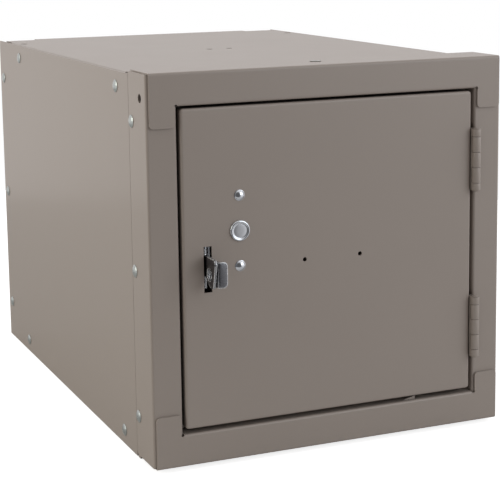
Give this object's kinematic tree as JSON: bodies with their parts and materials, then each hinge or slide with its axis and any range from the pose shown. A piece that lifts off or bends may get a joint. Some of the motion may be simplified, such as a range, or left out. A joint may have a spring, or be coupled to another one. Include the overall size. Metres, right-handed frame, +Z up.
{
  "type": "cube locker",
  "caption": "Cube locker of folded painted sheet steel with a framed hinged door, a padlock staple and a finger lift latch.",
  "frame": {"origin": "middle of the base, on the surface that the locker stands on", "axes": "+Z up, -Y out of the door, +X towards the hinges"},
  "size_m": [0.3086, 0.4788, 0.3084],
  "materials": {
    "paint": "satin baked enamel, warm grey",
    "zinc": "bright zinc plate",
    "bright_plug": "bright nickel plate",
    "rubber": "matt black"
  },
  "bodies": {
    "cabinet": {"back_panel": "paint", "back_rivets": "zinc", "bottom_panel": "paint", "bottom_rail": "paint", "door_bumpers": "rubber", "left_side_panel": "paint", "left_side_rivets": "zinc", "left_stile": "paint", "left_stile_rivets": "zinc", "lower_hinge_frame_leaf": "paint", "lower_hinge_pin": "paint", "padlock_staple": "zinc", "rail_screw": "paint", "rail_screw_nut": "zinc", "right_side_panel": "paint", "right_side_rivets": "zinc", "right_stile": "paint", "right_stile_rivets": "zinc", "staple_rivets": "zinc", "top_panel": "paint", "top_rail": "paint", "upper_hinge_frame_leaf": "paint", "upper_hinge_pin": "paint"},
    "door": {"dial_hole_plug": "bright_plug", "door_panel": "paint", "lift_guide_studs": "zinc", "lock_hole_plugs": "bright_plug", "lower_hinge_door_leaf": "paint", "upper_hinge_door_leaf": "paint"},
    "lift": {"latch_lift": "zinc"}
  },
  "joints": [
    {"name": "door_hinge", "type": "hinge", "parent": "cabinet", "child": "door", "pos_m": [0.1273, -0.2322, 0.156], "axis": [0, 0, 1], "range_deg": [0, 170]},
    {"name": "latch_slide", "type": "slide", "parent": "door", "child": "lift", "axis": [0, 0, 1], "range_m": [0, 0.006]}
  ]
}
